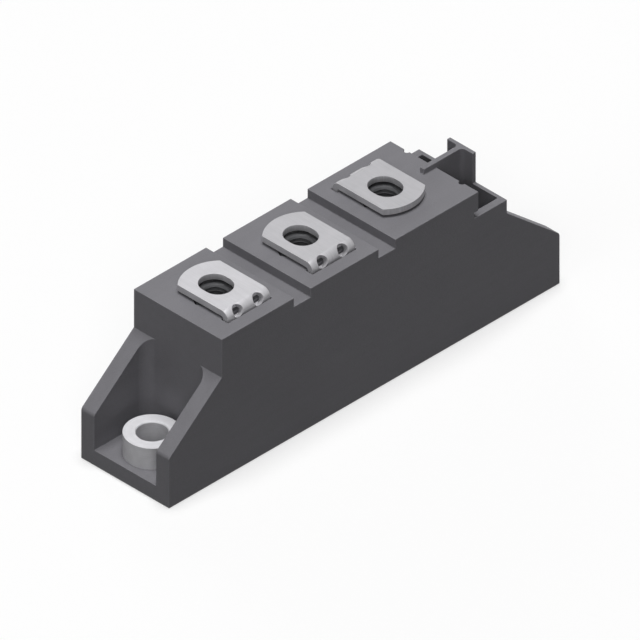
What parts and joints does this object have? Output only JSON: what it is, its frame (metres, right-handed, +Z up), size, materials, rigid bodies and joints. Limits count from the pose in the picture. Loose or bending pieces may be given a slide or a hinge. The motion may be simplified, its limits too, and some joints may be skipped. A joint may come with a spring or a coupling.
{
  "type": "rectifier diode module",
  "caption": "Flat rectifier diode module: a dark moulded housing with screw-down lugs, bent metal screw terminals on top and a copper cooling face below.",
  "frame": {"origin": "middle of the cooling face, at the centre of the module's outline", "axes": "+X along the module towards the end with the T-shaped rib, +Y across it, +Z up from the cooling face"},
  "size_m": [0.0922, 0.0208, 0.0301],
  "materials": {
    "moulded_plastic": "dark grey filled thermoplastic, satin moulded skin",
    "plated_copper": "nickel-plated copper strip, satin",
    "bush_metal": "turned and plated steel, satin",
    "blackened_steel": "black oxide on steel, dull",
    "bare_copper": "bare copper, satin",
    "alumina": "white alumina, fired",
    "silicon": "silicon chip with a plated face",
    "solder": "soft solder, dull grey",
    "silicone_glue": "silicone adhesive, grey",
    "silicone_gel": "clear soft silicone gel"
  },
  "bodies": {
    "root": {"housing": "moulded_plastic", "mounting_bush_near": "bush_metal", "mounting_bush_far": "bush_metal", "terminal_1": "plated_copper", "terminal_nut_1": "blackened_steel", "circuit_copper_1": "bare_copper", "foot_solder_1": "solder", "terminal_2": "plated_copper", "terminal_nut_2": "blackened_steel", "circuit_copper_2": "bare_copper", "foot_solder_2": "solder", "terminal_3": "plated_copper", "terminal_nut_3": "blackened_steel", "circuit_copper_3": "bare_copper", "foot_solder_3": "solder", "diode_chip_1": "silicon", "chip_solder_1": "solder", "chip_jumper_1": "bare_copper", "jumper_chip_solder_1": "solder", "jumper_pad_solder_1": "solder", "diode_chip_2": "silicon", "chip_solder_2": "solder", "chip_jumper_2": "bare_copper", "jumper_chip_solder_2": "solder", "jumper_pad_solder_2": "solder", "ceramic_tile": "alumina", "cooling_copper": "bare_copper", "glue_frame": "silicone_glue", "silicone_gel": "silicone_gel"}
  },
  "joints": []
}
